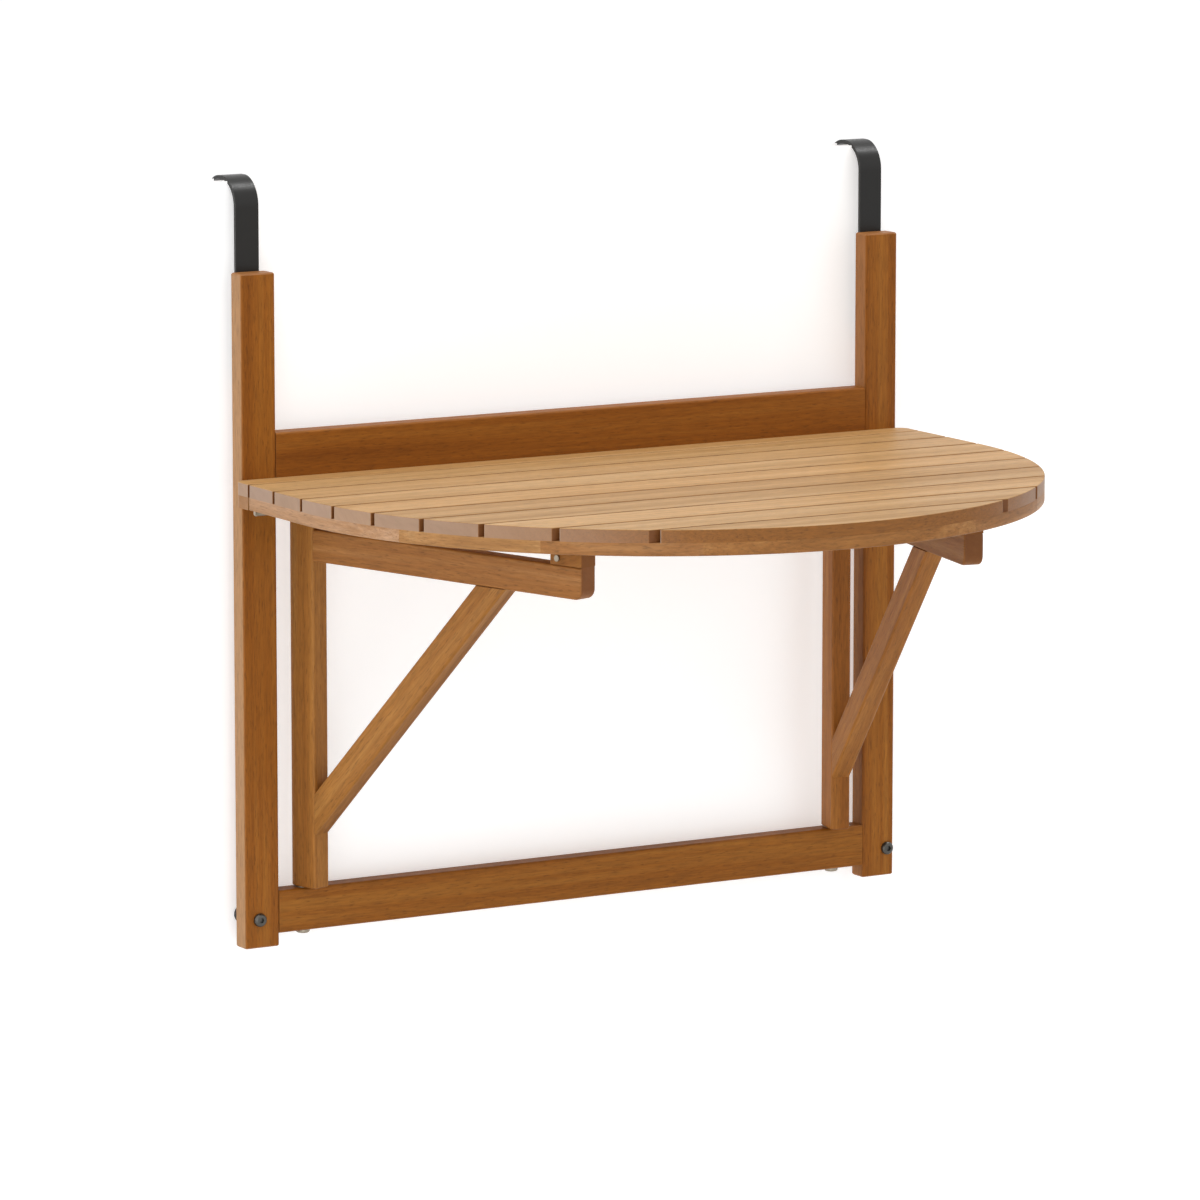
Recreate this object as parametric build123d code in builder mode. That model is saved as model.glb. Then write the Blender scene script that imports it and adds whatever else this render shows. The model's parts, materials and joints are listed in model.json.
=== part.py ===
from build123d import *
import os
from math import atan2, cos, radians, sin, sqrt

# Folding balcony table that hangs from a railing by two steel hooks.
# Origin: the railing's top front edge, midway between the hooks.
# X runs along the railing, Y from the table towards the railing, Z is up.
# All sizes are in millimetres.

# Frame of two posts and two rails
FRAME_WIDTH = 600.0
POST_WIDTH = 30.0
POST_DEPTH = 17.0
POST_HEIGHT = 531.0
BOTTOM_RAIL_RAISE = 10.0
BOTTOM_RAIL_HEIGHT = 34.0
BACK_RAIL_RISE = 35.0
WOOD_EDGE_RADIUS = 2.0

# Railing hooks bent from flat bar
STRAP_WIDTH = 20.0
STRAP_THICKNESS = 3.0
HOOK_RISE = 70.0
HOOK_GAP = 44.0
HOOK_BEND_RADIUS = 20.0
HOOK_POST_LAP = 84.0
HOOK_REAR_DROP = 60.0
STRAP_CORNER_RADIUS = 5.0
HOOK_SCREW_PITCH = 44.0

# Table top: a fixed ledge and a leaf of slats on a bent rim
TABLE_HEIGHT = 371.0
TABLE_WIDTH = 614.0
TABLE_DEPTH = 425.0
SIDE_LENGTH = 111.0
SLAT_THICKNESS = 10.0
RIM_THICKNESS = 10.0
LEDGE_DEPTH = 23.0
LEDGE_CORNER_RADIUS = 9.0
LEAF_GAP = 2.4
SLAT_COUNT = 9
SLAT_GAP = 3.2
BACK_SLAT_WIDTH = 38.3
SLAT_EDGE_RADIUS = 0.7
SLAT_CORNER_RADIUS = 0.8
RIM_WIDTH = 45.0
RIM_EDGE_RADIUS = 1.2
RIM_JOINT_ANGLES = [22.4, 44.6, 67.2, 112.8, 135.4, 157.6]
FINGER_COUNT = 4
FINGER_LENGTH = 9.0
BACK_BAR_WIDTH = 40.0
BEARER_WIDTH = 42.0
BEARER_INSET = 129.0

# Swing gates that carry the leaf
PIVOT_INSET = 20.0
LEFT_TOE_IN = 17.0
RIGHT_TOE_IN = 11.2
GATE_THICKNESS = 16.0
GATE_POST_WIDTH = 28.8
GATE_HEEL_REACH = 7.0
GATE_HEEL_RADIUS = 6.5
GATE_REACH = 307.0
ARM_HEIGHT = 25.2
ARM_END_RADIUS = 8.0
SPACER_LENGTH = 32.5
SPACER_HEIGHT = 20.5
BRACE_WIDTH = 23.0
BRACE_FOOT_HEIGHT = 78.0
BRACE_HEAD_REACH = 174.0
PIVOT_RADIUS = 3.0
PIVOT_DEPTH = 20.0
PIVOT_HEAD_RADIUS = 5.5
PIVOT_HEAD_HEIGHT = 3.2
WASHER_RADIUS = 6.5
WASHER_THICKNESS = 1.0

# Butt hinges under the gap between ledge and leaf
HINGE_LENGTH = 36.0
HINGE_END_INSET = 6.0
HINGE_BARREL_RADIUS = 2.5
HINGE_PIN_RADIUS = 1.2
HINGE_PIN_HEAD_RADIUS = 1.9
HINGE_PIN_HEAD_HEIGHT = 0.8
HINGE_PLATE_REACH = 18.0
HINGE_PLATE_THICKNESS = 1.5
HINGE_MID_KNUCKLE = 14.0
HINGE_SCREW_PITCH = 22.0

# Levelling bolts near the post ends
LEVELLER_HEIGHT = 22.5
LEFT_LEVELLER_INSET = 12.5
RIGHT_LEVELLER_INSET = 6.5
LEVELLER_RADIUS = 3.0
LEVELLER_HEAD_RADIUS = 5.3
LEVELLER_HEAD_HEIGHT = 3.4
LEVELLER_SOCKET_WIDTH = 4.0
LEVELLER_SOCKET_DEPTH = 1.8
LEVELLER_STANDOFF = 13.0
PAD_RADIUS = 7.5
PAD_THICKNESS = 4.5
PAD_EDGE_RADIUS = 1.0
NUT_RADIUS = 5.0
NUT_LENGTH = 12.0

# Fasteners and dowels
DOWEL_RADIUS = 4.0
DOWEL_LENGTH = 20.0
RAIL_DOWEL_MARGIN = 9.0
GATE_DOWEL_RADIUS = 3.0
GATE_DOWEL_DEPTH = 10.0
SCREW_RADIUS = 1.8
SCREW_HEAD_RADIUS = 3.6
SLAT_SCREW_LENGTH = 17.0
SLAT_SCREW_SHARE = 0.25
FRONT_SCREW_SPACING = 170.0
LEDGE_SCREW_LENGTH = 34.0
LEDGE_SCREW_COUNT = 4
LEDGE_SCREW_PITCH = 130.0
HOOK_SCREW_LENGTH = 16.0
HINGE_SCREW_RADIUS = 1.4
HINGE_SCREW_HEAD_RADIUS = 2.6
HINGE_SCREW_LENGTH = 9.0
SPACER_SCREW_LENGTH = 36.0
SPACER_SCREW_PITCH = 18.0
STOP_SCREW_HEAD_RADIUS = 2.4
STOP_SCREW_HEAD_HEIGHT = 1.6
STOP_SCREW_RADIUS = 1.2
STOP_SCREW_DEPTH = 5.0

# Clearances
RUNNING_CLEARANCE = 0.05
SLIDING_CLEARANCE = 0.3
KNUCKLE_CLEARANCE = 0.4

# Levels and faces worked out from the sizes above
POST_BOTTOM = -(HOOK_RISE + POST_HEIGHT)
POST_TOP = -HOOK_RISE
FRAME_BACK = -STRAP_THICKNESS
FRAME_FRONT = FRAME_BACK - POST_DEPTH
FRAME_MID = (FRAME_BACK + FRAME_FRONT) / 2
POST_X = (FRAME_WIDTH - POST_WIDTH) / 2
RAIL_LENGTH = FRAME_WIDTH - 2 * POST_WIDTH
BOTTOM_RAIL_TOP = POST_BOTTOM + BOTTOM_RAIL_RAISE + BOTTOM_RAIL_HEIGHT
TABLE_TOP = POST_BOTTOM + TABLE_HEIGHT
SLAT_UNDERSIDE = TABLE_TOP - SLAT_THICKNESS
TABLE_UNDERSIDE = SLAT_UNDERSIDE - RIM_THICKNESS
BACK_RAIL_TOP = TABLE_TOP + BACK_RAIL_RISE
LEDGE_FRONT = FRAME_FRONT - LEDGE_DEPTH
LEAF_BACK = LEDGE_FRONT - LEAF_GAP
CURVE_START = FRAME_FRONT - SIDE_LENGTH
CURVE_DEPTH = TABLE_DEPTH - SIDE_LENGTH
HALF_TABLE = TABLE_WIDTH / 2
BEARER_X = HALF_TABLE - BEARER_INSET
LEAF_DEPTH = TABLE_DEPTH - LEDGE_DEPTH - LEAF_GAP
SLAT_WIDTH = (LEAF_DEPTH - BACK_SLAT_WIDTH) / (SLAT_COUNT - 1) - SLAT_GAP
GATE_BOTTOM = BOTTOM_RAIL_TOP + WASHER_THICKNESS
GATE_TOP = TABLE_UNDERSIDE - SLIDING_CLEARANCE
ARM_TOP = GATE_TOP - SPACER_HEIGHT
ARM_BOTTOM = ARM_TOP - ARM_HEIGHT
HINGE_X = HALF_TABLE - HINGE_END_INSET - HINGE_LENGTH / 2
HINGE_Y = LEDGE_FRONT - LEAF_GAP / 2
HINGE_Z = TABLE_UNDERSIDE - HINGE_BARREL_RADIUS
# The gates' bay ends at the post or at the hinge, whichever is further in.
GATE_BAY_HALF = min(POST_X - POST_WIDTH / 2, HINGE_X - HINGE_LENGTH / 2)
PIVOT_X = GATE_BAY_HALF - PIVOT_INSET

os.makedirs("parts", exist_ok=True)


def save(piece, name):
    """Label a finished piece and write it under its own name."""
    piece.label = name
    export_step(piece, f"parts/{name}.step")


def slat_range(index):
    """Back and front edge of one slat, counted from the ledge."""
    if index == 0:
        return LEAF_BACK, LEAF_BACK - BACK_SLAT_WIDTH
    back = LEAF_BACK - BACK_SLAT_WIDTH - SLAT_GAP - (index - 1) * (SLAT_WIDTH + SLAT_GAP)
    return back, back - SLAT_WIDTH


def curve_half_width(y, inset):
    """Half the width of the top's outline at y, drawn in by inset."""
    if y >= CURVE_START:
        return HALF_TABLE - inset
    share = min((CURVE_START - y) / (CURVE_DEPTH - inset), 1.0)
    return (HALF_TABLE - inset) * sqrt(1 - share**2)


def leaf_outline(inset=0.0):
    """Edges of the leaf's outline, straight sides and a half ellipse, drawn in by inset."""
    half = HALF_TABLE - inset
    with BuildLine() as outline:
        Line((half, CURVE_START), (half, LEAF_BACK))
        Line((half, LEAF_BACK), (-half, LEAF_BACK))
        Line((-half, LEAF_BACK), (-half, CURVE_START))
        EllipticalCenterArc((0, CURVE_START), half, CURVE_DEPTH - inset, 180, arc_size=180)
    return outline.edges()


def countersunk_screw(length, radius, head_radius):
    """Screw along Z with its flush head face at zero and its tip below."""
    head_depth = head_radius - radius
    with BuildPart() as screw:
        with BuildSketch(Plane.XZ):
            with BuildLine():
                Polyline(
                    (0, 0),
                    (head_radius, 0),
                    (radius, -head_depth),
                    (radius, -length + radius),
                    (0, -length),
                    close=True,
                )
            make_face()
        revolve(axis=Axis.Z)
    return screw.part


# Fasteners come first, because the wooden pieces are drilled to them.
slat_screw = countersunk_screw(SLAT_SCREW_LENGTH, SCREW_RADIUS, SCREW_HEAD_RADIUS)
ledge_screw = countersunk_screw(LEDGE_SCREW_LENGTH, SCREW_RADIUS, SCREW_HEAD_RADIUS)
hook_screw = countersunk_screw(HOOK_SCREW_LENGTH, SCREW_RADIUS, SCREW_HEAD_RADIUS)
spacer_screw = countersunk_screw(SPACER_SCREW_LENGTH, SCREW_RADIUS, SCREW_HEAD_RADIUS)
hinge_screw = countersunk_screw(HINGE_SCREW_LENGTH, HINGE_SCREW_RADIUS, HINGE_SCREW_HEAD_RADIUS)


def slat_screw_points():
    """Screw places under the leaf: on the rim and on the two bearers."""
    points = []
    for index in range(SLAT_COUNT):
        back, front = slat_range(index)
        y = back - (back - front) * SLAT_SCREW_SHARE
        rim_x = curve_half_width(y, RIM_WIDTH / 2)
        if index == SLAT_COUNT - 1:
            rim_x = FRONT_SCREW_SPACING / 2
        places = [rim_x]
        if curve_half_width(front, RIM_WIDTH) > BEARER_X + BEARER_WIDTH / 2:
            places.append(BEARER_X)
        for x in places:
            points.append((x, y))
            points.append((-x, y))
    return points


with BuildPart() as slat_screws:
    for x, y in slat_screw_points():
        with Locations(Plane((x, y, TABLE_UNDERSIDE), z_dir=(0, 0, -1))):
            add(slat_screw)
save(slat_screws.part, "slat_screws")

with BuildPart() as ledge_screws:
    with Locations(Plane((0, FRAME_BACK, TABLE_UNDERSIDE + RIM_THICKNESS / 2), x_dir=(1, 0, 0), z_dir=(0, 1, 0))):
        with GridLocations(LEDGE_SCREW_PITCH, 0, LEDGE_SCREW_COUNT, 1):
            add(ledge_screw)
    with Locations(Plane((0, FRAME_FRONT - LEDGE_DEPTH / 2, TABLE_UNDERSIDE), x_dir=(1, 0, 0), z_dir=(0, 0, -1))):
        with GridLocations(LEDGE_SCREW_PITCH, 0, LEDGE_SCREW_COUNT - 1, 1):
            add(slat_screw)
save(ledge_screws.part, "ledge_screws")

with BuildPart() as hook_screws:
    for x in (-POST_X, POST_X):
        with Locations(Plane((x, 0, POST_TOP - HOOK_POST_LAP / 2), x_dir=(1, 0, 0), z_dir=(0, 1, 0))):
            with GridLocations(0, HOOK_SCREW_PITCH, 1, 2):
                add(hook_screw)
save(hook_screws.part, "hook_screws")

with BuildPart() as rail_dowels:
    for low, high in ((POST_BOTTOM + BOTTOM_RAIL_RAISE, BOTTOM_RAIL_TOP), (TABLE_UNDERSIDE, BACK_RAIL_TOP)):
        for x in (-RAIL_LENGTH / 2, RAIL_LENGTH / 2):
            for z in (low + RAIL_DOWEL_MARGIN, high - RAIL_DOWEL_MARGIN):
                with Locations((x, FRAME_MID, z)):
                    Cylinder(DOWEL_RADIUS, DOWEL_LENGTH, rotation=(0, 90, 0))
save(rail_dowels.part, "rail_dowels")


def leveller_place(side):
    """Axis of one levelling bolt on the front face of its post."""
    inset = LEFT_LEVELLER_INSET if side < 0 else RIGHT_LEVELLER_INSET
    return side * (FRAME_WIDTH / 2 - inset), FRAME_FRONT, POST_BOTTOM + LEVELLER_HEIGHT


with BuildPart() as leveller_nuts:
    for side in (-1, 1):
        x, y, z = leveller_place(side)
        with BuildSketch(Plane((x, FRAME_BACK, z), x_dir=(1, 0, 0), z_dir=(0, -1, 0))):
            Circle(NUT_RADIUS)
            Circle(LEVELLER_RADIUS + RUNNING_CLEARANCE, mode=Mode.SUBTRACT)
        extrude(amount=NUT_LENGTH)
save(leveller_nuts.part, "leveller_nuts")


def frame_post(side):
    """One upright with eased edges, drilled for rails, hook and leveller."""
    x, y, z = leveller_place(side)
    with BuildPart() as post:
        with BuildSketch(Plane.XY.offset(POST_BOTTOM)):
            with Locations((side * POST_X, FRAME_MID)):
                RectangleRounded(POST_WIDTH, POST_DEPTH, WOOD_EDGE_RADIUS)
        extrude(amount=POST_HEIGHT)
        chamfer(post.faces().filter_by(Axis.Z).edges(), WOOD_EDGE_RADIUS / 2)
        with Locations((x, FRAME_MID, z)):
            Cylinder(LEVELLER_RADIUS + RUNNING_CLEARANCE, POST_DEPTH, rotation=(90, 0, 0), mode=Mode.SUBTRACT)
        with BuildSketch(Plane((x, FRAME_BACK, z), x_dir=(1, 0, 0), z_dir=(0, -1, 0))):
            Circle(NUT_RADIUS)
        extrude(amount=NUT_LENGTH, mode=Mode.SUBTRACT)
        add(rail_dowels.part, mode=Mode.SUBTRACT)
        add(hook_screws.part, mode=Mode.SUBTRACT)
    return post.part


save(frame_post(-1), "left_post")
save(frame_post(1), "right_post")


def frame_rail(bottom, height):
    """A rail between the posts, with its long edges eased and dowel holes in its ends."""
    with BuildPart() as rail:
        with BuildSketch(Plane.YZ.offset(-RAIL_LENGTH / 2)):
            with Locations((FRAME_MID, bottom + height / 2)):
                RectangleRounded(POST_DEPTH, height, WOOD_EDGE_RADIUS)
        extrude(amount=RAIL_LENGTH)
        add(rail_dowels.part, mode=Mode.SUBTRACT)
    return rail.part


with BuildPart() as bottom_rail:
    add(frame_rail(POST_BOTTOM + BOTTOM_RAIL_RAISE, BOTTOM_RAIL_HEIGHT))
    with Locations((-PIVOT_X, FRAME_MID, BOTTOM_RAIL_TOP), (PIVOT_X, FRAME_MID, BOTTOM_RAIL_TOP)):
        Hole(PIVOT_RADIUS, BOTTOM_RAIL_HEIGHT)
save(bottom_rail.part, "bottom_rail")

with BuildPart() as back_rail:
    add(frame_rail(TABLE_UNDERSIDE, BACK_RAIL_TOP - TABLE_UNDERSIDE))
    for side in (-1, 1):
        with BuildSketch(Plane.XY.offset(TABLE_UNDERSIDE)):
            with Locations((side * PIVOT_X, FRAME_MID)):
                Circle(PIVOT_RADIUS)
        extrude(amount=PIVOT_DEPTH, mode=Mode.SUBTRACT)
    add(ledge_screws.part, mode=Mode.SUBTRACT)
save(back_rail.part, "back_rail")


def railing_hook(side):
    """Flat bar bent twice over the railing and screwed to the back of a post."""
    front_drop = HOOK_RISE + HOOK_POST_LAP
    with BuildPart() as hook:
        with BuildSketch(Plane.YZ.offset(side * POST_X)) as profile:
            with Locations((HOOK_GAP / 2, STRAP_THICKNESS - front_drop / 2 - STRAP_THICKNESS / 2)):
                Rectangle(HOOK_GAP + 2 * STRAP_THICKNESS, front_drop + STRAP_THICKNESS)
            fillet(profile.vertices().group_by(Axis.Y)[-1], HOOK_BEND_RADIUS + STRAP_THICKNESS)
            with Locations((HOOK_GAP / 2, -front_drop)):
                RectangleRounded(HOOK_GAP, 2 * front_drop, HOOK_BEND_RADIUS, mode=Mode.SUBTRACT)
            with Locations((HOOK_GAP + STRAP_THICKNESS / 2, -HOOK_REAR_DROP)):
                Rectangle(
                    2 * STRAP_THICKNESS,
                    front_drop,
                    align=(Align.CENTER, Align.MAX),
                    mode=Mode.SUBTRACT,
                )
        extrude(amount=STRAP_WIDTH / 2, both=True)
        corners = hook.edges().filter_by(Axis.Y).filter_by(lambda edge: edge.center().Z < -HOOK_REAR_DROP / 2)
        fillet(corners, STRAP_CORNER_RADIUS)
        add(hook_screws.part, mode=Mode.SUBTRACT)
    return hook.part


save(railing_hook(-1), "left_hook")
save(railing_hook(1), "right_hook")


def hinge_screw_places(side, way):
    """Screw planes on one hinge plate: way is 1 under the ledge and -1 under the leaf."""
    y = HINGE_Y + way * (HINGE_PLATE_REACH + HINGE_BARREL_RADIUS) / 2
    z = TABLE_UNDERSIDE - HINGE_PLATE_THICKNESS
    return [
        Plane((side * HINGE_X + step * HINGE_SCREW_PITCH, y, z), z_dir=(0, 0, -1)) for step in (-0.5, 0.5)
    ]


def hinge_screw_group(way):
    """The screws of both hinges on one side of the gap."""
    with BuildPart() as group:
        for side in (-1, 1):
            with Locations(*hinge_screw_places(side, way)):
                add(hinge_screw)
    return group.part


fixed_hinge_screws = hinge_screw_group(1)
leaf_hinge_screws = hinge_screw_group(-1)
save(fixed_hinge_screws, "fixed_hinge_screws")
save(leaf_hinge_screws, "leaf_hinge_screws")


def ledge_layer(bottom, height):
    """One layer of the fixed ledge, with its two back corners rounded."""
    with BuildPart() as layer:
        with BuildSketch(Plane.XY.offset(bottom)) as outline:
            with Locations((0, FRAME_FRONT - LEDGE_DEPTH / 2)):
                Rectangle(TABLE_WIDTH, LEDGE_DEPTH)
            fillet(outline.vertices().group_by(Axis.Y)[-1], LEDGE_CORNER_RADIUS)
        extrude(amount=height)
        add(ledge_screws.part, mode=Mode.SUBTRACT)
        add(fixed_hinge_screws, mode=Mode.SUBTRACT)
    return layer.part


with BuildPart() as ledge_slat:
    add(ledge_layer(SLAT_UNDERSIDE, SLAT_THICKNESS))
    fillet(ledge_slat.faces().sort_by(Axis.Z)[-1].edges(), SLAT_EDGE_RADIUS)
save(ledge_slat.part, "ledge_slat")
save(ledge_layer(TABLE_UNDERSIDE, RIM_THICKNESS), "ledge_bar")


def knuckle_spans(way):
    """X spans of the knuckles, measured from the hinge's middle."""
    half = HINGE_LENGTH / 2
    middle = HINGE_MID_KNUCKLE / 2
    if way < 0:
        return [(-middle, middle)]
    return [(-half, -middle - KNUCKLE_CLEARANCE), (middle + KNUCKLE_CLEARANCE, half)]


def hinge_plate(side, way):
    """Half of a butt hinge: a drilled plate with rolled knuckles along the barrel."""
    bore = HINGE_PIN_RADIUS + (RUNNING_CLEARANCE if way < 0 else 0.0)
    plate_start = HINGE_BARREL_RADIUS + KNUCKLE_CLEARANCE
    plate_z = TABLE_UNDERSIDE - HINGE_PLATE_THICKNESS / 2
    screws = fixed_hinge_screws if way > 0 else leaf_hinge_screws
    with BuildPart() as plate:
        with BuildSketch(Plane.XY.offset(TABLE_UNDERSIDE - HINGE_PLATE_THICKNESS)):
            with Locations((side * HINGE_X, HINGE_Y + way * (plate_start + HINGE_PLATE_REACH) / 2)):
                Rectangle(HINGE_LENGTH, HINGE_PLATE_REACH - plate_start)
        extrude(amount=HINGE_PLATE_THICKNESS)
        for start, end in knuckle_spans(way):
            with BuildSketch(Plane.YZ.offset(side * HINGE_X + start)):
                with Locations((HINGE_Y, HINGE_Z)):
                    Circle(HINGE_BARREL_RADIUS)
                with Locations((HINGE_Y + way * plate_start / 2, plate_z)):
                    Rectangle(plate_start, HINGE_PLATE_THICKNESS)
            extrude(amount=end - start)
        with Locations((side * HINGE_X, HINGE_Y, HINGE_Z)):
            Cylinder(bore, 2 * HINGE_LENGTH, rotation=(0, 90, 0), mode=Mode.SUBTRACT)
        add(screws, mode=Mode.SUBTRACT)
    return plate.part


def hinge_pin(side):
    """Pin with a low round head at its outer end."""
    with BuildPart() as pin:
        with Locations((side * HINGE_X, HINGE_Y, HINGE_Z)):
            Cylinder(HINGE_PIN_RADIUS, HINGE_LENGTH, rotation=(0, 90, 0))
        head_x = side * (HINGE_X + HINGE_LENGTH / 2 + HINGE_PIN_HEAD_HEIGHT / 2)
        with Locations((head_x, HINGE_Y, HINGE_Z)):
            Cylinder(HINGE_PIN_HEAD_RADIUS, HINGE_PIN_HEAD_HEIGHT, rotation=(0, 90, 0))
    return pin.part


for side, word in ((-1, "left"), (1, "right")):
    save(hinge_plate(side, 1), f"{word}_hinge_fixed_plate")
    save(hinge_plate(side, -1), f"{word}_hinge_leaf_plate")
    save(hinge_pin(side), f"{word}_hinge_pin")


def pivot_bolt(side):
    """Bolt that goes up through the bottom rail into the foot of a gate."""
    head_top = POST_BOTTOM + BOTTOM_RAIL_RAISE
    shank = BOTTOM_RAIL_HEIGHT + WASHER_THICKNESS + PIVOT_DEPTH - SLIDING_CLEARANCE
    with BuildPart() as bolt:
        with BuildSketch(Plane.XY.offset(head_top - PIVOT_HEAD_HEIGHT)):
            with Locations((side * PIVOT_X, FRAME_MID)):
                Circle(PIVOT_HEAD_RADIUS)
        extrude(amount=PIVOT_HEAD_HEIGHT)
        fillet(bolt.edges().group_by(Axis.Z)[0], PIVOT_HEAD_HEIGHT / 2)
        with BuildSketch(Plane.XY.offset(head_top)):
            with Locations((side * PIVOT_X, FRAME_MID)):
                Circle(PIVOT_RADIUS)
        extrude(amount=shank)
    return bolt.part


save(pivot_bolt(-1), "left_pivot_bolt")
save(pivot_bolt(1), "right_pivot_bolt")

with BuildPart() as upper_pivot_pins:
    with BuildSketch(Plane.XY.offset(GATE_TOP - PIVOT_DEPTH + SLIDING_CLEARANCE)):
        with Locations((-PIVOT_X, FRAME_MID), (PIVOT_X, FRAME_MID)):
            Circle(PIVOT_RADIUS)
    extrude(amount=2 * PIVOT_DEPTH)
save(upper_pivot_pins.part, "upper_pivot_pins")

with BuildPart() as pivot_washers:
    with BuildSketch(Plane.XY.offset(BOTTOM_RAIL_TOP)):
        with Locations((-PIVOT_X, FRAME_MID), (PIVOT_X, FRAME_MID)):
            Circle(WASHER_RADIUS)
            Circle(PIVOT_RADIUS + RUNNING_CLEARANCE, mode=Mode.SUBTRACT)
    extrude(amount=WASHER_THICKNESS)
save(pivot_washers.part, "pivot_washers")


def gate_plane(side):
    """Plane of a gate at rest: x runs out along the arm from the pivot axis, y runs up."""
    toe_in = radians(LEFT_TOE_IN if side < 0 else RIGHT_TOE_IN)
    arm = Vector(-side * sin(toe_in), -cos(toe_in), 0)
    return Plane((side * PIVOT_X, FRAME_MID, 0), x_dir=arm, z_dir=arm.cross(Vector(0, 0, 1)))


POST_FACE = GATE_POST_WIDTH - GATE_HEEL_REACH
BRACE_FOOT_TOP = BOTTOM_RAIL_TOP + BRACE_FOOT_HEIGHT
BRACE_ANGLE = atan2(ARM_BOTTOM - BRACE_FOOT_TOP, BRACE_HEAD_REACH)
BRACE_FOOT_SPAN = BRACE_WIDTH / cos(BRACE_ANGLE)
BRACE_HEAD_SPAN = BRACE_WIDTH / sin(BRACE_ANGLE)
SPACER_START = GATE_REACH - SPACER_LENGTH
SPACER_MIDDLE = GATE_REACH - SPACER_LENGTH / 2


def gate_dowels(side):
    """Dowels of one gate: two in the arm's root, one at each end of the brace."""
    plane = gate_plane(side)
    across = (0, 90, 0)
    upright = (90, 0, 0)
    arm_middle = (ARM_TOP + ARM_BOTTOM) / 2
    foot_z = BRACE_FOOT_TOP - BRACE_FOOT_SPAN / 3
    head_x = POST_FACE + BRACE_HEAD_REACH + BRACE_HEAD_SPAN / 3
    with BuildPart(plane) as dowels:
        with Locations((POST_FACE, arm_middle - ARM_HEIGHT / 4), (POST_FACE, arm_middle + ARM_HEIGHT / 4)):
            Cylinder(GATE_DOWEL_RADIUS, 2 * GATE_DOWEL_DEPTH, rotation=across)
        with Locations((POST_FACE, foot_z)):
            Cylinder(GATE_DOWEL_RADIUS, 2 * GATE_DOWEL_DEPTH, rotation=across)
        with Locations((head_x, ARM_BOTTOM)):
            Cylinder(GATE_DOWEL_RADIUS, 2 * GATE_DOWEL_DEPTH, rotation=upright)
    return dowels.part


def spacer_screws(side):
    """Two screws down through the spacer into the arm, and a round stop screw on its outer face."""
    plane = gate_plane(side)
    top = Plane(plane.from_local_coords((SPACER_MIDDLE, GATE_TOP, 0)), x_dir=plane.x_dir, z_dir=(0, 0, 1))
    stop_x = SPACER_START + SPACER_LENGTH / 4
    stop_z = GATE_TOP - SPACER_HEIGHT * 3 / 4
    face = Plane(
        plane.from_local_coords((stop_x, stop_z, -side * GATE_THICKNESS / 2)),
        x_dir=plane.x_dir,
        z_dir=plane.z_dir * -side,
    )
    with BuildPart() as screws:
        with Locations(top):
            with GridLocations(SPACER_SCREW_PITCH, 0, 2, 1):
                add(spacer_screw)
        with BuildSketch(face):
            Circle(STOP_SCREW_HEAD_RADIUS)
        extrude(amount=STOP_SCREW_HEAD_HEIGHT)
        with BuildSketch(face):
            Circle(STOP_SCREW_RADIUS)
        extrude(amount=-STOP_SCREW_DEPTH)
    return screws.part


def gate_post(side, dowels):
    """Upright of a gate: its heel edges are rounded so that it can turn beside the frame."""
    plane = gate_plane(side)
    foot = Plane((side * PIVOT_X, FRAME_MID, GATE_BOTTOM), x_dir=plane.x_dir, z_dir=(0, 0, 1))
    with BuildPart() as post:
        with BuildSketch(foot) as section:
            with Locations((POST_FACE - GATE_POST_WIDTH / 2, 0)):
                Rectangle(GATE_POST_WIDTH, GATE_THICKNESS)
            fillet(section.vertices().group_by(Axis.X)[0], GATE_HEEL_RADIUS)
            fillet(section.vertices().group_by(Axis.X)[-1], WOOD_EDGE_RADIUS)
        extrude(amount=GATE_TOP - GATE_BOTTOM)
        chamfer(post.faces().filter_by(Axis.Z).edges(), WOOD_EDGE_RADIUS / 2)
        for z in (GATE_BOTTOM, GATE_TOP - PIVOT_DEPTH):
            with BuildSketch(Plane.XY.offset(z)):
                with Locations((side * PIVOT_X, FRAME_MID)):
                    Circle(PIVOT_RADIUS + RUNNING_CLEARANCE)
            extrude(amount=PIVOT_DEPTH, mode=Mode.SUBTRACT)
        add(dowels, mode=Mode.SUBTRACT)
    return post.part


def gate_arm(side, dowels, screws):
    """Level arm of a gate, with the lower corner of its free end rounded off."""
    plane = gate_plane(side)
    with BuildPart() as arm:
        with BuildSketch(plane) as outline:
            with Locations(((POST_FACE + GATE_REACH) / 2, (ARM_TOP + ARM_BOTTOM) / 2)):
                Rectangle(GATE_REACH - POST_FACE, ARM_HEIGHT)
            end = outline.vertices().group_by(Axis.X)[-1]
            fillet(end.sort_by(Axis.Y)[0], ARM_END_RADIUS)
        extrude(amount=GATE_THICKNESS / 2, both=True)
        root = arm.faces().sort_by(Axis((0, 0, 0), plane.x_dir))[0]
        eased = arm.faces().filter_by(Axis((0, 0, 0), plane.z_dir)).edges() - root.edges()
        fillet(eased, WOOD_EDGE_RADIUS)
        add(dowels, mode=Mode.SUBTRACT)
        add(screws, mode=Mode.SUBTRACT)
    return arm.part


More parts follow.
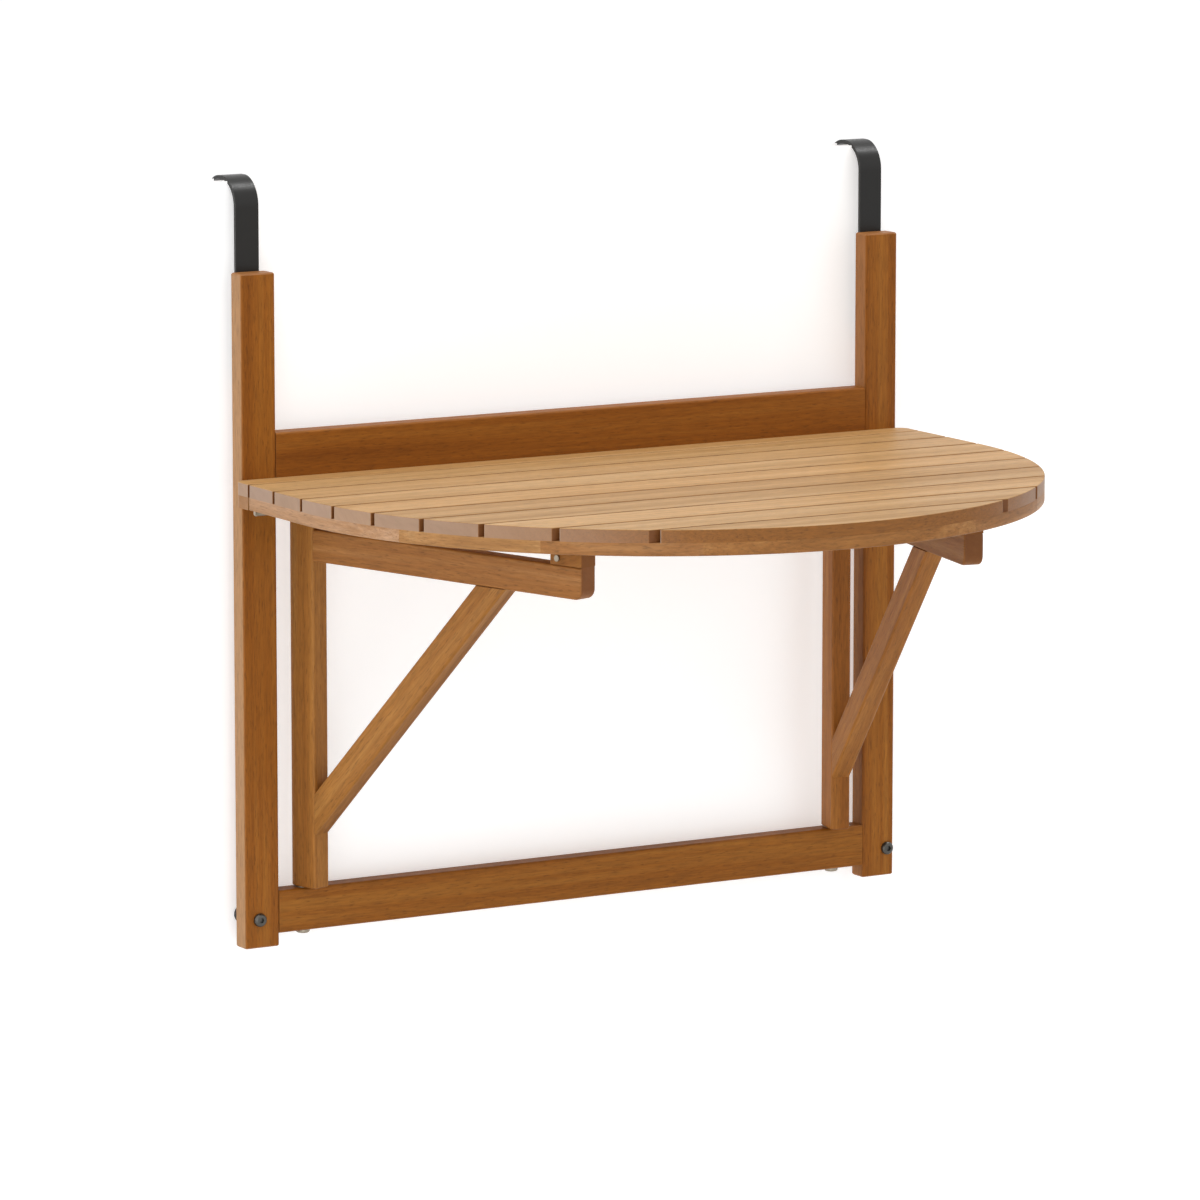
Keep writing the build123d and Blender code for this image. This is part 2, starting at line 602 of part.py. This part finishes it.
def gate_brace(side, dowels):
    """Sloping brace between the gate's upright and its arm, cut to both faces."""
    plane = gate_plane(side)
    head_x = POST_FACE + BRACE_HEAD_REACH
    slope = plane.x_dir * cos(BRACE_ANGLE) + Vector(0, 0, sin(BRACE_ANGLE))
    with BuildPart() as brace:
        with BuildSketch(plane):
            with BuildLine():
                Polyline(
                    (POST_FACE, BRACE_FOOT_TOP),
                    (head_x, ARM_BOTTOM),
                    (head_x + BRACE_HEAD_SPAN, ARM_BOTTOM),
                    (POST_FACE, BRACE_FOOT_TOP - BRACE_FOOT_SPAN),
                    close=True,
                )
            make_face()
        extrude(amount=GATE_THICKNESS / 2, both=True)
        fillet(brace.edges().filter_by(Axis((0, 0, 0), slope)), WOOD_EDGE_RADIUS)
        add(dowels, mode=Mode.SUBTRACT)
    return brace.part


def gate_spacer(side, screws):
    """Block on the arm's free end that slides under the leaf."""
    plane = gate_plane(side)
    with BuildPart() as spacer:
        with BuildSketch(plane):
            with Locations((SPACER_MIDDLE, GATE_TOP - SPACER_HEIGHT / 2)):
                Rectangle(SPACER_LENGTH, SPACER_HEIGHT)
        extrude(amount=GATE_THICKNESS / 2, both=True)
        fillet(spacer.edges().filter_by(Axis.Z), WOOD_EDGE_RADIUS / 2)
        add(screws, mode=Mode.SUBTRACT)
    return spacer.part


for side, word in ((-1, "left"), (1, "right")):
    dowels = gate_dowels(side)
    screws = spacer_screws(side)
    save(dowels, f"{word}_gate_dowels")
    save(screws, f"{word}_spacer_screws")
    save(gate_post(side, dowels), f"{word}_gate_post")
    save(gate_arm(side, dowels, screws), f"{word}_gate_arm")
    save(gate_brace(side, dowels), f"{word}_gate_brace")
    save(gate_spacer(side, screws), f"{word}_gate_spacer")


def leaf_slat(index):
    """One slat, cut to the leaf's outline, with its upper edges rounded."""
    back, front = slat_range(index)
    with BuildPart() as slat:
        with BuildSketch(Plane.XY.offset(SLAT_UNDERSIDE)):
            make_face(leaf_outline())
            with Locations((0, (back + front) / 2)):
                Rectangle(TABLE_WIDTH, back - front, mode=Mode.INTERSECT)
        extrude(amount=SLAT_THICKNESS)
        corners = slat.edges().filter_by(Axis.Z).group_by(Axis.Y)
        fillet(corners[0] if len(corners) == 1 else corners[0] + corners[-1], SLAT_CORNER_RADIUS)
        fillet(slat.faces().sort_by(Axis.Z)[-1].edges(), SLAT_EDGE_RADIUS)
        add(slat_screws.part, mode=Mode.SUBTRACT)
    return slat.part


for index in range(SLAT_COUNT):
    save(leaf_slat(index), f"slat_{index + 1}")


def finger_joint(angle):
    """Zigzag glue line across the rim, from outside the outline to inside the rim."""
    turn = radians(angle)
    across = Vector(cos(turn), -sin(turn))
    along = Vector(sin(turn), cos(turn))
    outer = Vector(HALF_TABLE * cos(turn), CURVE_START - CURVE_DEPTH * sin(turn))
    step = RIM_WIDTH / (2 * FINGER_COUNT)
    points = []
    for count in range(-2, 2 * FINGER_COUNT + 3):
        within = min(max(count, 0), 2 * FINGER_COUNT)
        shift = FINGER_LENGTH / 2 if within % 2 else -FINGER_LENGTH / 2
        points.append(outer - across * (count * step) + along * shift)
    return points


def rim_segment(index):
    """One piece of the bent rim, between two finger joints or a joint and the leaf's back."""
    middle = Vector(0, CURVE_START)
    far = 2 * TABLE_WIDTH
    if index == 0:
        start = [Vector(far, LEAF_BACK), Vector(0, LEAF_BACK)]
    else:
        start = finger_joint(RIM_JOINT_ANGLES[index - 1])
    if index == len(RIM_JOINT_ANGLES):
        end = [Vector(-far, LEAF_BACK), Vector(0, LEAF_BACK)]
    else:
        end = finger_joint(RIM_JOINT_ANGLES[index])
    with BuildPart() as segment:
        with BuildSketch(Plane.XY.offset(TABLE_UNDERSIDE)):
            make_face(leaf_outline())
            make_face(leaf_outline(RIM_WIDTH), mode=Mode.SUBTRACT)
            with BuildLine():
                outer_corner = (start[0] + end[0] - middle * 2) + middle
                Polyline(*reversed(start), outer_corner, *end, middle, close=True)
            make_face(mode=Mode.INTERSECT)
        extrude(amount=RIM_THICKNESS)
        lower_edges = segment.faces().sort_by(Axis.Z)[0].edges()
        fillet(lower_edges.sort_by(SortBy.LENGTH)[-1], RIM_EDGE_RADIUS)
        add(slat_screws.part, mode=Mode.SUBTRACT)
        add(leaf_hinge_screws, mode=Mode.SUBTRACT)
    return segment.part


for index in range(len(RIM_JOINT_ANGLES) + 1):
    save(rim_segment(index), f"rim_{index + 1}")

with BuildPart() as leaf_back_bar:
    with BuildSketch(Plane.XY.offset(TABLE_UNDERSIDE)):
        with Locations((0, LEAF_BACK - BACK_BAR_WIDTH / 2)):
            Rectangle(TABLE_WIDTH - 2 * RIM_WIDTH, BACK_BAR_WIDTH)
    extrude(amount=RIM_THICKNESS)
    add(slat_screws.part, mode=Mode.SUBTRACT)
save(leaf_back_bar.part, "leaf_back_bar")


def leaf_bearer(side):
    """Batten under the slats that the gate's spacer meets, cut to the rim's inner curve."""
    with BuildPart() as bearer:
        with BuildSketch(Plane.XY.offset(TABLE_UNDERSIDE)):
            make_face(leaf_outline(RIM_WIDTH))
            with Locations((side * BEARER_X, LEAF_BACK - BACK_BAR_WIDTH)):
                Rectangle(
                    BEARER_WIDTH,
                    TABLE_DEPTH,
                    align=(Align.CENTER, Align.MAX),
                    mode=Mode.INTERSECT,
                )
        extrude(amount=RIM_THICKNESS)
        add(slat_screws.part, mode=Mode.SUBTRACT)
    return bearer.part


save(leaf_bearer(-1), "left_bearer")
save(leaf_bearer(1), "right_bearer")


def leveller_bolt(side):
    """Round-headed bolt with a hexagon socket, from the post's front to the foot pad."""
    x, y, z = leveller_place(side)
    front = Plane((x, y, z), x_dir=(1, 0, 0), z_dir=(0, -1, 0))
    shank = POST_DEPTH + LEVELLER_STANDOFF - PAD_THICKNESS / 2
    with BuildPart() as bolt:
        with BuildSketch(front):
            Circle(LEVELLER_HEAD_RADIUS)
        extrude(amount=LEVELLER_HEAD_HEIGHT)
        fillet(bolt.edges().group_by(Axis.Y)[0], LEVELLER_HEAD_HEIGHT * 2 / 3)
        with BuildSketch(front.offset(LEVELLER_HEAD_HEIGHT)):
            RegularPolygon(LEVELLER_SOCKET_WIDTH / 2, 6, major_radius=False)
        extrude(amount=-LEVELLER_SOCKET_DEPTH, mode=Mode.SUBTRACT)
        with BuildSketch(front):
            Circle(LEVELLER_RADIUS)
        extrude(amount=-shank)
    return bolt.part


def foot_pad(side):
    """Round pad on the bolt's tip that bears on the railing."""
    x, y, z = leveller_place(side)
    face = FRAME_BACK + LEVELLER_STANDOFF
    with BuildPart() as pad:
        with BuildSketch(Plane((x, face, z), x_dir=(1, 0, 0), z_dir=(0, -1, 0))):
            Circle(PAD_RADIUS)
        extrude(amount=PAD_THICKNESS)
        fillet(pad.edges().group_by(Axis.Y)[-1], PAD_EDGE_RADIUS)
        with BuildSketch(Plane((x, face - PAD_THICKNESS, z), x_dir=(1, 0, 0), z_dir=(0, 1, 0))):
            Circle(LEVELLER_RADIUS)
        extrude(amount=PAD_THICKNESS / 2, mode=Mode.SUBTRACT)
    return pad.part


for side, word in ((-1, "left"), (1, "right")):
    save(leveller_bolt(side), f"{word}_leveller_bolt")
    save(foot_pad(side), f"{word}_foot_pad")
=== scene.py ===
import json
import math

import bpy
import numpy as np
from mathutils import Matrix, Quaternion, Vector

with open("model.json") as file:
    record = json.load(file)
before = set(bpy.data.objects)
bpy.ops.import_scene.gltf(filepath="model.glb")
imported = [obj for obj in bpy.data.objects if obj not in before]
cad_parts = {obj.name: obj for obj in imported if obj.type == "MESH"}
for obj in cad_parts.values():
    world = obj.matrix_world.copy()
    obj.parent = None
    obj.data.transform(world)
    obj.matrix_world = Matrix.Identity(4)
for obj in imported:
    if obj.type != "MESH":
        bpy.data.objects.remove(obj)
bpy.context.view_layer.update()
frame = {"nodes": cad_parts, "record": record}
record = frame["record"]
slot_of = {row["node"]: row["material_slot"] for row in record["subparts"]}

# Places of the colour sockets on a Mix node, whose names its other sockets share
MIX_FACTOR = 0
MIX_FIRST = 6
MIX_SECOND = 7
MIX_RESULT = 2

# Middle part of a noise's values, over which most tones change
NOISE_RANGE = (0.3, 0.7)

# Size of the wood's features along the grain and across it
FIGURE_SIZE = (0.75, 0.020, 0.020)
STREAK_SIZE = (0.30, 0.0042, 0.0042)
FIBRE_SIZE = (0.016, 0.0014, 0.0014)
PORE_SIZE = (0.008, 0.0009, 0.0009)
RING_SIZE = (0.2, 0.018, 0.0045)

# How the wood's features mix, and how far each one darkens or lightens the colour
FIGURE_SHARE = 0.70
STREAK_SHARE = 0.30
TONE_PLACES = (0.34, 0.5, 0.66)
FIBRE_SHADES = (0.80, 1.15)
PORE_RANGE = (0.60, 0.70)
PORE_SHADES = (1.0, 0.72)
RING_RANGE = (0.32, 0.68)
RING_SHADES = (0.94, 1.05)
WOOD_ROUGHNESS = (0.58, 0.44)

# How squarely a face has to look along a direction to count as a broad face, an end or a slat's side in a
# gap, where shade is painted
FACE_RANGE = (0.30, 0.85)
END_RANGE = (0.45, 0.90)
END_SHARE = 0.9
GAP_SHADE_RANGE = (0.985, 0.998)
GAP_DIRECTION = Vector((0.0, 1.0, 0.0))

# Relief of the wood's fibres and pores
FIBRE_RELIEF = 0.6
PORE_RELIEF_RANGE = (0.58, 0.70)
PORE_RELIEF = 0.5
WOOD_BUMP_DEPTH = 0.00025
WOOD_BUMP_STRENGTH = 0.30

# Differences between boards: lean of the end rings in radians, place in the figure, warmth
RING_LEAN = (0.4, 1.1)
FIGURE_SHIFT = 3.0
WARMTH = 0.03

# Clouding, gloss and grit of the finishes on steel and plastic
CLOUD_SIZE = 0.018
CLOUD_SHADES = (0.86, 1.16)
FINISH_GLOSS = 0.35
ROUGHNESS_SWING = 0.07
GRIT_STRENGTH = 0.35


def linear(code):
    """Linear colour from a hexadecimal screen colour."""
    parts = [int(code[i:i + 2], 16) / 255 for i in (0, 2, 4)]
    return tuple(c / 12.92 if c <= 0.04045 else ((c + 0.055) / 1.055) ** 2.4 for c in parts)


def add_node(tree, kind, **values):
    """A shader node with its settings."""
    node = tree.nodes.new("ShaderNode" + kind)
    for key, value in values.items():
        setattr(node, key, value)
    return node


class Tree:
    """A material's node tree, with short calls for the nodes used here."""

    def __init__(self, name):
        self.material = bpy.data.materials.new(name)
        self.material.use_nodes = True
        self.tree = self.material.node_tree
        self.shader = self.tree.nodes["Principled BSDF"]
        self.coord = self.add("TexCoord")

    def add(self, kind, **values):
        return add_node(self.tree, kind, **values)

    def link(self, source, target):
        self.tree.links.new(source, target)

    def feed(self, socket, value):
        """Set a socket to a number or a colour, or link it to another socket."""
        if isinstance(value, (int, float)):
            socket.default_value = value
        elif isinstance(value, tuple):
            socket.default_value = (*value, 1.0)
        else:
            self.link(value, socket)

    def mapped(self, turn, size, shift):
        """Object coordinates turned to the grain and divided by the size of a feature."""
        node = self.add("Mapping", vector_type="TEXTURE")
        node.inputs["Location"].default_value = shift
        node.inputs["Rotation"].default_value = turn
        node.inputs["Scale"].default_value = size
        self.link(self.coord.outputs["Object"], node.inputs["Vector"])
        return node.outputs["Vector"]

    def noise(self, vector, detail=3.0, rough=0.55, distortion=0.0):
        node = self.add("TexNoise")
        node.inputs["Scale"].default_value = 1.0
        node.inputs["Detail"].default_value = detail
        node.inputs["Roughness"].default_value = rough
        node.inputs["Distortion"].default_value = distortion
        self.link(vector, node.inputs["Vector"])
        return node.outputs["Fac"]

    def span(self, value, given, wanted):
        """A value carried from one range to another, and held at its ends."""
        node = self.add("MapRange", clamp=True)
        for key, number in zip(("From Min", "From Max", "To Min", "To Max"), (*given, *wanted)):
            node.inputs[key].default_value = number
        self.link(value, node.inputs["Value"])
        return node.outputs["Result"]

    def math(self, operation, first, second):
        node = self.add("Math", operation=operation)
        for socket, value in zip(node.inputs, (first, second)):
            self.feed(socket, value)
        return node.outputs["Value"]

    def ramp(self, value, stops):
        node = self.add("ValToRGB")
        points = node.color_ramp.elements
        while len(points) < len(stops):
            points.new(0.5)
        for point, (place, colour) in zip(points, stops):
            point.position = place
            point.color = (*colour, 1.0)
        self.link(value, node.inputs["Fac"])
        return node.outputs["Color"]

    def mix(self, kind, factor, first, second):
        node = self.add("Mix", data_type="RGBA", blend_type=kind)
        for place, value in ((MIX_FACTOR, factor), (MIX_FIRST, first), (MIX_SECOND, second)):
            self.feed(node.inputs[place], value)
        return node.outputs[MIX_RESULT]

    def bump(self, height, distance, strength):
        node = self.add("Bump")
        node.inputs["Distance"].default_value = distance
        node.inputs["Strength"].default_value = strength
        self.link(height, node.inputs["Height"])
        self.link(node.outputs["Normal"], self.shader.inputs["Normal"])

    def set(self, name, value):
        self.feed(self.shader.inputs[name], value)


def long_axis(node):
    """Direction of a wooden piece's length, from the spread of its vertices."""
    points = np.array([vertex.co for vertex in frame["nodes"][node].data.vertices], float)
    vectors = np.linalg.eigh(np.cov((points - points.mean(0)).T))[1]
    axis = Vector(vectors[:, -1])
    return axis if max(axis, key=abs) > 0 else -axis


def across(tree, direction):
    """How far a face looks along a direction, from nought to one."""
    node = tree.add("VectorMath", operation="DOT_PRODUCT")
    node.inputs[1].default_value = direction
    tree.link(tree.coord.outputs["Normal"], node.inputs[0])
    return tree.math("ABSOLUTE", node.outputs["Value"], 0.0)


def greyed(tree, shade):
    """A grey of the given level, for multiplying into a colour."""
    node = tree.add("CombineColor")
    for socket in node.inputs:
        tree.link(shade, socket)
    return node.outputs["Color"]


def tinted(code, tint):
    """Linear colour with each channel times its share."""
    return tuple(channel * share for channel, share in zip(linear(code), tint))


def wood(node, look, seed):
    """Oiled timber whose grain runs along the piece, with its own figure and end grain, a side tone of
    painted light and shade on its narrow faces, and painted shade in the gaps between slats.
    """
    grain = long_axis(node)
    straight = grain.to_track_quat("X", "Z")
    turn = straight.to_euler()
    draw = np.random.default_rng(seed)
    lean = (Quaternion(grain, float(draw.uniform(*RING_LEAN))) @ straight).to_euler()
    shift = tuple(draw.uniform(-FIGURE_SHIFT, FIGURE_SHIFT, 3))
    lift = float(draw.uniform(1.0 - look["vary"], 1.0 + look["vary"]))
    warm = float(draw.uniform(-WARMTH, WARMTH))
    tint = [lift * share for share in look["tint"]]
    tint[0] *= 1 + warm
    tint[2] *= 1 - 2 * warm
    tree = Tree(node + "_wood")

    figure = tree.noise(tree.mapped(turn, FIGURE_SIZE, shift), detail=3.5, distortion=0.7)
    streak = tree.noise(tree.mapped(turn, STREAK_SIZE, shift), detail=3.0, distortion=0.25)
    fibre = tree.noise(tree.mapped(turn, FIBRE_SIZE, shift), detail=3.0, rough=0.6)
    pores = tree.noise(tree.mapped(turn, PORE_SIZE, shift), detail=1.0)
    rings = tree.noise(tree.mapped(lean, RING_SIZE, shift), detail=2.0, distortion=0.5)

    broad = tree.math("MULTIPLY", figure, FIGURE_SHARE)
    narrow = tree.math("MULTIPLY", streak, STREAK_SHARE)
    blend = tree.math("ADD", broad, narrow)
    tones = [tinted(tone, tint) for tone in look["tones"]]
    colour = tree.ramp(blend, list(zip(TONE_PLACES, tones)))
    to_local = frame["nodes"][node].matrix_world.to_3x3().inverted()
    # Painted light and shade: the narrow faces take the side tone, a paler painted lit side on the posts
    # and a darker painted shade on the slats' upright faces
    painted_side_mask = tree.span(across(tree, to_local @ Vector(look["face"])), FACE_RANGE, (look["edge"], 0.0))
    colour = tree.mix("MIX", painted_side_mask, colour, linear(look["edge_tone"]))
    fine = tree.math(
        "MULTIPLY",
        tree.span(fibre, NOISE_RANGE, FIBRE_SHADES),
        tree.span(pores, PORE_RANGE, PORE_SHADES),
    )
    colour = tree.mix("MULTIPLY", 1.0, colour, greyed(tree, fine))
    ringed = greyed(tree, tree.span(rings, RING_RANGE, RING_SHADES))
    end_colour = tree.mix("MULTIPLY", 1.0, tinted(look["end_tone"], tint), ringed)
    end = tree.span(across(tree, grain), END_RANGE, (0.0, END_SHARE))
    colour = tree.mix("MIX", end, colour, end_colour)
    # Painted shade: the slats' sides in the gaps between them take a share of the dark gap tone
    gap = tree.span(across(tree, to_local @ GAP_DIRECTION), GAP_SHADE_RANGE, (0.0, look["gap"]))
    colour = tree.mix("MIX", gap, colour, linear(GAP_SHADE_TONE))

    tree.set("Base Color", colour)
    tree.set("Roughness", tree.span(blend, NOISE_RANGE, WOOD_ROUGHNESS))
    tree.set("Specular IOR Level", look["gloss"])
    raised = tree.math("MULTIPLY", fibre, FIBRE_RELIEF)
    sunk = tree.span(pores, PORE_RELIEF_RANGE, (0.0, PORE_RELIEF))
    tree.bump(tree.math("SUBTRACT", raised, sunk), WOOD_BUMP_DEPTH, WOOD_BUMP_STRENGTH)
    return tree.material


def finish(name, tone, metallic, rough, grit, depth):
    """Steel or plastic whose colour and gloss vary a little, over a fine grit."""
    tree = Tree(name)
    flat = (0.0, 0.0, 0.0)
    cloud = tree.noise(tree.mapped(flat, (CLOUD_SIZE,) * 3, flat), detail=3.0)
    speck = tree.noise(tree.mapped(flat, (grit,) * 3, flat), detail=2.0)
    shades = [tinted(tone, (shade,) * 3) for shade in CLOUD_SHADES]
    tree.set("Base Color", tree.ramp(cloud, list(zip(NOISE_RANGE, shades))))
    tree.set("Metallic", metallic)
    tree.set("Specular IOR Level", FINISH_GLOSS)
    tree.set("Roughness", tree.span(speck, NOISE_RANGE, (rough - ROUGHNESS_SWING, rough + ROUGHNESS_SWING)))
    tree.bump(speck, depth, GRIT_STRENGTH)
    return tree.material


# Looks of the timbers: tones from dark to light, cut ends, gloss and spread between pieces.
# Face is the way that the broad faces look; the narrow faces take a share of a side tone, which is a
# painted lit side on the posts and painted shade on the slats' upright faces; the slats' sides in their
# gaps take a share of a dark tone of painted shade; and tint is each channel's share of a piece's tones.
# Dark tone of the painted shade in the gaps between slats
GAP_SHADE_TONE = "64391A"
# By default no side tone and no gap shade; this paler side tone is a painted lit side, used on the posts
PLAIN = {"face": (0.0, 1.0, 0.0), "edge": 0.0, "edge_tone": "A47A52", "gap": 0.0, "tint": (1.0, 1.0, 1.0)}
WOODS = {
    "top_wood": {
        "tones": ("A67A45", "B98D57", "C89E69"), "end_tone": "9C806A", "gloss": 0.30, "vary": 0.08,
        # Darker side tone of painted shade on the slats' upright faces, and a share of painted shade in the
        # gaps between slats
        "face": (0.0, 0.0, 1.0), "edge": 1.0, "edge_tone": "82511D", "gap": 0.75,
    },
    "rim_wood": {
        "tones": ("835830", "9A6D42", "AE845B"), "end_tone": "8C623A", "gloss": 0.28, "vary": 0.06,
    },
    "frame_wood": {
        "tones": ("7C460D", "8B5214", "996120"), "end_tone": "966234", "gloss": 0.18, "vary": 0.05,
    },
    "gate_wood": {
        "tones": ("83501C", "956026", "A57135"), "end_tone": "7A4A20", "gloss": 0.20, "vary": 0.08,
    },
    "dowel_wood": {
        "tones": ("B8946A", "C6A47A", "D2B28A"), "end_tone": "B8946A", "gloss": 0.25, "vary": 0.05,
    },
}

# What single boards have different from the others of their timber: painted light and shade on the posts,
# the gate arms and the right gate post, no painted gap shade on the front slat, and tints that make rims 3
# to 5 darker and warmer, rim 6 warmer and rim 7 paler and greyer
PIECES = {
    # Painted lit sides of the posts, stronger on the left post
    "left_post": {"edge": 1.0},
    "right_post": {"edge": 0.3},
    # Painted sheen on the gate arms, which makes them paler and greyer
    "left_gate_arm": {"tint": (1.06, 1.12, 1.60)},
    "right_gate_arm": {"tint": (0.98, 1.00, 1.30)},
    # Painted shade on the right gate post, which makes it darker
    "right_gate_post": {"tint": (0.88, 0.80, 0.65)},
    # No painted gap shade on the front slat's front face
    "slat_9": {"gap": 0.0},
    "rim_3": {"tint": (0.92, 0.84, 0.62)},
    "rim_4": {"tint": (0.88, 0.78, 0.52)},
    "rim_5": {"tint": (0.84, 0.72, 0.50)},
    "rim_6": {"tint": (1.02, 1.02, 0.85)},
    "rim_7": {"tint": (1.06, 1.18, 1.55)},
}

finishes = {
    "hook_coating": finish(
        "hook_coating_black", "0F0D0A", metallic=0.0, rough=0.37, grit=0.0012, depth=0.00006
    ),
    "bolt_steel": finish(
        "bolt_steel_dull", "565450", metallic=0.90, rough=0.34, grit=0.0016, depth=0.00003
    ),
    "zinc_steel": finish(
        "zinc_steel_plated", "9C9282", metallic=0.95, rough=0.36, grit=0.0016, depth=0.00002
    ),
    "pad_plastic": finish(
        "pad_plastic_black", "242424", metallic=0.0, rough=0.58, grit=0.0010, depth=0.00004
    ),
}

for number, name in enumerate(sorted(frame["nodes"])):
    slot = slot_of[name]
    if slot in WOODS:
        material = wood(name, {**PLAIN, **WOODS[slot], **PIECES.get(name, {})}, number)
    else:
        material = finishes[slot]
    for holder in frame["nodes"][name].material_slots:
        holder.material = material


# Camera at the photograph's viewing angle
CAMERA_PLACE = (-2.8257, -4.9076, 0.5609)
CAMERA_YAW = 30.215
CAMERA_PITCH = 9.147
CAMERA_LENS = 215.114
CAMERA_SENSOR = 36.0
CAMERA_FAR = 200.0
camera_data = bpy.data.cameras.new("camera")
camera_data.lens = CAMERA_LENS
camera_data.sensor_width = CAMERA_SENSOR
camera_data.clip_end = CAMERA_FAR
camera = bpy.data.objects.new("camera", camera_data)
camera.location = CAMERA_PLACE
camera.rotation_euler = (math.radians(90.0 - CAMERA_PITCH), 0.0, math.radians(-CAMERA_YAW))
bpy.context.scene.collection.objects.link(camera)
bpy.context.scene.camera = camera

# Pale floor below the table, and behind it two pale walls that end inside the hooks' bends
STAGE_HALF = 40.0
FLOOR_LEVEL = -0.95
FLOOR_TONE = 0.82
FLOOR_WHITE = 1.06
FLOOR_SHADOW = 0.22
WALL_PLACE = 0.0105
WALL_TOP = -0.0005
WALL_DEPTH = 0.0225
WALL_TONE = 1.0
WALL_WHITE = 2.1
WALL_SHADOW = 0.8


def sees_background(tree):
    """One where a camera, glossy or transmission ray meets the background."""
    path = add_node(tree, "LightPath")
    total = path.outputs["Is Camera Ray"]
    for other in ("Is Glossy Ray", "Is Transmission Ray"):
        node = add_node(tree, "Math", operation="MAXIMUM")
        tree.links.new(total, node.inputs[0])
        tree.links.new(path.outputs[other], node.inputs[1])
        total = node.outputs["Value"]
    return total


def shader_mix(tree, factor, first, second):
    """Blend of two shaders; factor is a number or a socket."""
    mixer = add_node(tree, "MixShader")
    if isinstance(factor, float):
        mixer.inputs[0].default_value = factor
    else:
        tree.links.new(factor, mixer.inputs[0])
    tree.links.new(first, mixer.inputs[1])
    tree.links.new(second, mixer.inputs[2])
    return mixer.outputs[0]


def stage_material(name, tone, white, shadow, solid):
    """Matt white that shows as white, with a share of its own shading for shadows.

    From behind it is clear, and where it is not solid it is clear to all rays that don't show it.
    """
    material = bpy.data.materials.new(name)
    material.use_nodes = True
    tree = material.node_tree
    tree.nodes.clear()
    matt = add_node(tree, "BsdfDiffuse")
    matt.inputs["Color"].default_value = (tone, tone, tone, 1.0)
    glow = add_node(tree, "Emission")
    glow.inputs["Strength"].default_value = white
    clear = add_node(tree, "BsdfTransparent")
    shown = shader_mix(tree, 1.0 - shadow, matt.outputs[0], glow.outputs[0])
    unseen = matt if solid else clear
    front = shader_mix(tree, sees_background(tree), unseen.outputs[0], shown)
    behind = add_node(tree, "NewGeometry").outputs["Backfacing"]
    output = add_node(tree, "OutputMaterial")
    tree.links.new(shader_mix(tree, behind, front, clear.outputs[0]), output.inputs["Surface"])
    return material


def stage_plane(name, corners, material):
    """A flat backdrop, seen from the side where its corners run anticlockwise."""
    mesh = bpy.data.meshes.new(name)
    mesh.from_pydata(corners, [], [(0, 1, 2, 3)])
    mesh.materials.append(material)
    plane = bpy.data.objects.new(name, mesh)
    bpy.context.scene.collection.objects.link(plane)


square = ((-1, -1), (1, -1), (1, 1), (-1, 1))
stage_plane(
    "floor",
    [(x * STAGE_HALF, y * STAGE_HALF, FLOOR_LEVEL) for x, y in square],
    stage_material("floor_white", FLOOR_TONE, FLOOR_WHITE, FLOOR_SHADOW, True),
)
wall_white = stage_material("wall_white", WALL_TONE, WALL_WHITE, WALL_SHADOW, False)
for name, place in (("wall", WALL_PLACE), ("wall_rear", WALL_PLACE + WALL_DEPTH)):
    stage_plane(
        name,
        [(x * STAGE_HALF, place, FLOOR_LEVEL if z < 0 else WALL_TOP) for x, z in square],
        wall_white,
    )

# Even world light, white where the camera sees it
WORLD_LIGHT = 0.55
WORLD_WHITE = 1.0
world = bpy.data.worlds.new("studio")
bpy.context.scene.world = world
world.use_nodes = True
world_tree = world.node_tree
background = world_tree.nodes["Background"]
background.inputs["Color"].default_value = (1.0, 1.0, 1.0, 1.0)
level = add_node(world_tree, "MapRange")
level.inputs["To Min"].default_value = WORLD_LIGHT
level.inputs["To Max"].default_value = WORLD_WHITE
world_tree.links.new(sees_background(world_tree), level.inputs["Value"])
world_tree.links.new(level.outputs["Result"], background.inputs["Strength"])


def sun(name, towards, strength, spread):
    """A broad far lamp; towards points from the object to the lamp, spread is in degrees."""
    data = bpy.data.lights.new(name, "SUN")
    data.energy = strength
    data.angle = math.radians(spread)
    lamp = bpy.data.objects.new(name, data)
    lamp.rotation_euler = Vector(towards).to_track_quat("Z", "Y").to_euler()
    bpy.context.scene.collection.objects.link(lamp)


sun("key", towards=(-0.45, -0.35, 0.85), strength=0.75, spread=50.0)
sun("overhead", towards=(0.45, -0.12, 0.85), strength=0.95, spread=16.0)
sun("front", towards=(0.25, -0.9, 0.35), strength=0.30, spread=60.0)
sun("side", towards=(-0.95, 0.15, 0.15), strength=1.50, spread=50.0)

# Panel close to the floor that lifts the lower half
LOW_PLACE = Vector((-0.9, -1.4, -0.85))
LOW_TARGET = Vector((0.0, 0.0, -0.45))
LOW_SIZE = 1.2
LOW_POWER = 8.0
low_data = bpy.data.lights.new("low", "AREA")
low_data.size = LOW_SIZE
low_data.energy = LOW_POWER
low = bpy.data.objects.new("low", low_data)
low.location = LOW_PLACE
low.rotation_euler = (LOW_PLACE - LOW_TARGET).to_track_quat("Z", "Y").to_euler()
low.visible_camera = False
bpy.context.scene.collection.objects.link(low)

bpy.context.scene.view_settings.view_transform = "Standard"
